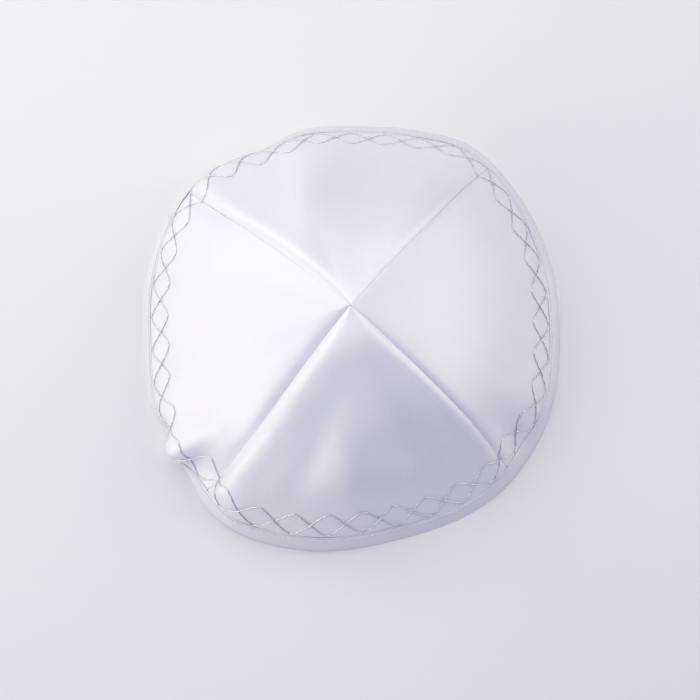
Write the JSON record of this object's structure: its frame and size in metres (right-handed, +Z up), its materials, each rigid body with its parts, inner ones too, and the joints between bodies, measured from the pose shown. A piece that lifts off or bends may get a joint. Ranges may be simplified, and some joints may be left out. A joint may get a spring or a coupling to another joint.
{
  "type": "kippah skullcap",
  "caption": "Satin skullcap of shaped panels meeting in a point at the crown, with a bound edge and a ring of metallic embroidery.",
  "frame": {"origin": "middle of the bounding box on the surface that the rim rests on, close under the crown point", "axes": "+Z up through the crown, +Y to the back panel, +X to the right panel"},
  "size_m": [0.1719, 0.1788, 0.0579],
  "materials": {
    "panel_satin": "white satin with a soft pearly gloss, woven so that light streaks across the yarns",
    "binding_satin": "white satin strip folded over the edge, topstitched in white",
    "metallic_thread": "twisted silver metallic embroidery thread",
    "sewing_thread": "white polyester sewing thread"
  },
  "bodies": {
    "root": {"panel_front": "panel_satin", "panel_right": "panel_satin", "panel_back": "panel_satin", "panel_left": "panel_satin", "rim_binding": "binding_satin"}
  },
  "joints": []
}
